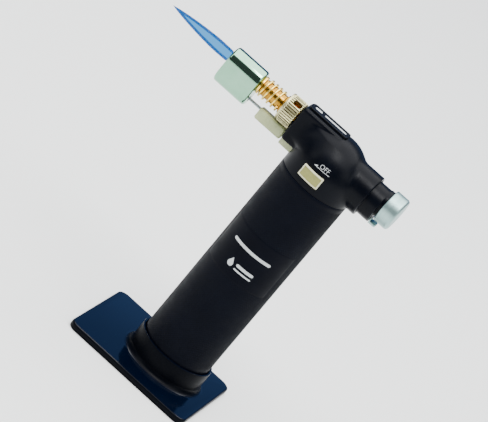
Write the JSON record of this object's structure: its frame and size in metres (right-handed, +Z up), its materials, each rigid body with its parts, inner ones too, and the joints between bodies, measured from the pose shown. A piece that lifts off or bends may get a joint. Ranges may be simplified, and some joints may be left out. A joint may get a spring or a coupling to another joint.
{
  "type": "butane torch",
  "caption": "Handheld butane torch with knurled air ring, coiled brass burner, flame guard, rear igniter button and a plug-in square stand.",
  "frame": {"origin": "underside of the stand, on the axis of the handle", "axes": "+Z up along the handle, burner towards -X, igniter button towards +X, thumb pad of the gas lever on the -Y side"},
  "size_m": [0.1098, 0.0732, 0.1526],
  "materials": {
    "stand_navy": "gloss, near-black navy",
    "grip": "fine raised diamond texture",
    "black_gloss": "semi gloss moulding",
    "black_plastic": "satin",
    "steel": "drawn",
    "rubber": "matt",
    "brass": "polished",
    "felt": "pressed felt",
    "ivory": "satin",
    "lead_red": "insulated wire",
    "chrome": "polished",
    "ceramic": "glazed ivory ceramic",
    "nickel": "warm nickel plate",
    "cream": "satin",
    "satin_cap": "fine turned satin"
  },
  "bodies": {
    "stand": {"stand_base": "stand_navy"},
    "torch": {"grip_sleeve": "grip", "fuel_tank": "steel", "tank_base_plug": "black_plastic", "tank_seal_ring": "rubber", "fill_valve_body": "brass", "valve_filter": "felt", "regulator_column": "brass", "gas_pipe": "steel", "head_shell_near": "black_gloss", "head_shell_far": "black_gloss", "shell_screw_lower": "steel", "shell_screw_upper": "steel", "label_plate": "black_plastic", "piezo_body": "ivory", "igniter_lead": "lead_red", "button_spring": "steel", "mixer_body": "brass", "gas_jet": "brass", "burner_tube": "brass", "guard_nut": "brass", "heat_coil": "brass", "flame_holder": "steel", "flame_guard": "chrome", "electrode_insulator": "ceramic", "electrode_rod": "steel"},
    "air_ring": {"air_ring": "nickel"},
    "gas_lever": {"gas_lever": "cream"},
    "igniter_button": {"button_plunger": "black_gloss", "button_cap": "satin_cap", "piezo_slider": "ivory"},
    "safety_catch": {"safety_catch": "satin_cap"},
    "fill_valve": {"fill_valve_stem": "brass"}
  },
  "joints": [
    {"name": "torch_lift", "type": "slide", "parent": "stand", "child": "torch", "axis": [0, 0, 1], "range_m": [0, 0.03]},
    {"name": "air_ring_turn", "type": "hinge", "parent": "torch", "child": "air_ring", "pos_m": [-0.03055, 0, 0.143], "axis": [1, 0, 0], "range_deg": [-35, 35]},
    {"name": "gas_lever_turn", "type": "hinge", "parent": "torch", "child": "gas_lever", "pos_m": [0, 0, 0.1325], "axis": [0, 0, 1], "range_deg": [-10, 6]},
    {"name": "igniter_press", "type": "slide", "parent": "torch", "child": "igniter_button", "axis": [-1, 0, 0], "range_m": [0, 0.005], "stiffness_N_per_m": 900, "springref_m": -0.004, "deforming": ["button_spring"]},
    {"name": "safety_catch_lift", "type": "slide", "parent": "igniter_button", "child": "safety_catch", "axis": [0, 0, 1], "range_m": [0, 0.0009], "stiffness_N_per_m": 80, "springref_m": -0.001},
    {"name": "fill_valve_press", "type": "slide", "parent": "torch", "child": "fill_valve", "axis": [0, 0, 1], "range_m": [0, 0.0012], "stiffness_N_per_m": 300, "springref_m": -0.002}
  ]
}
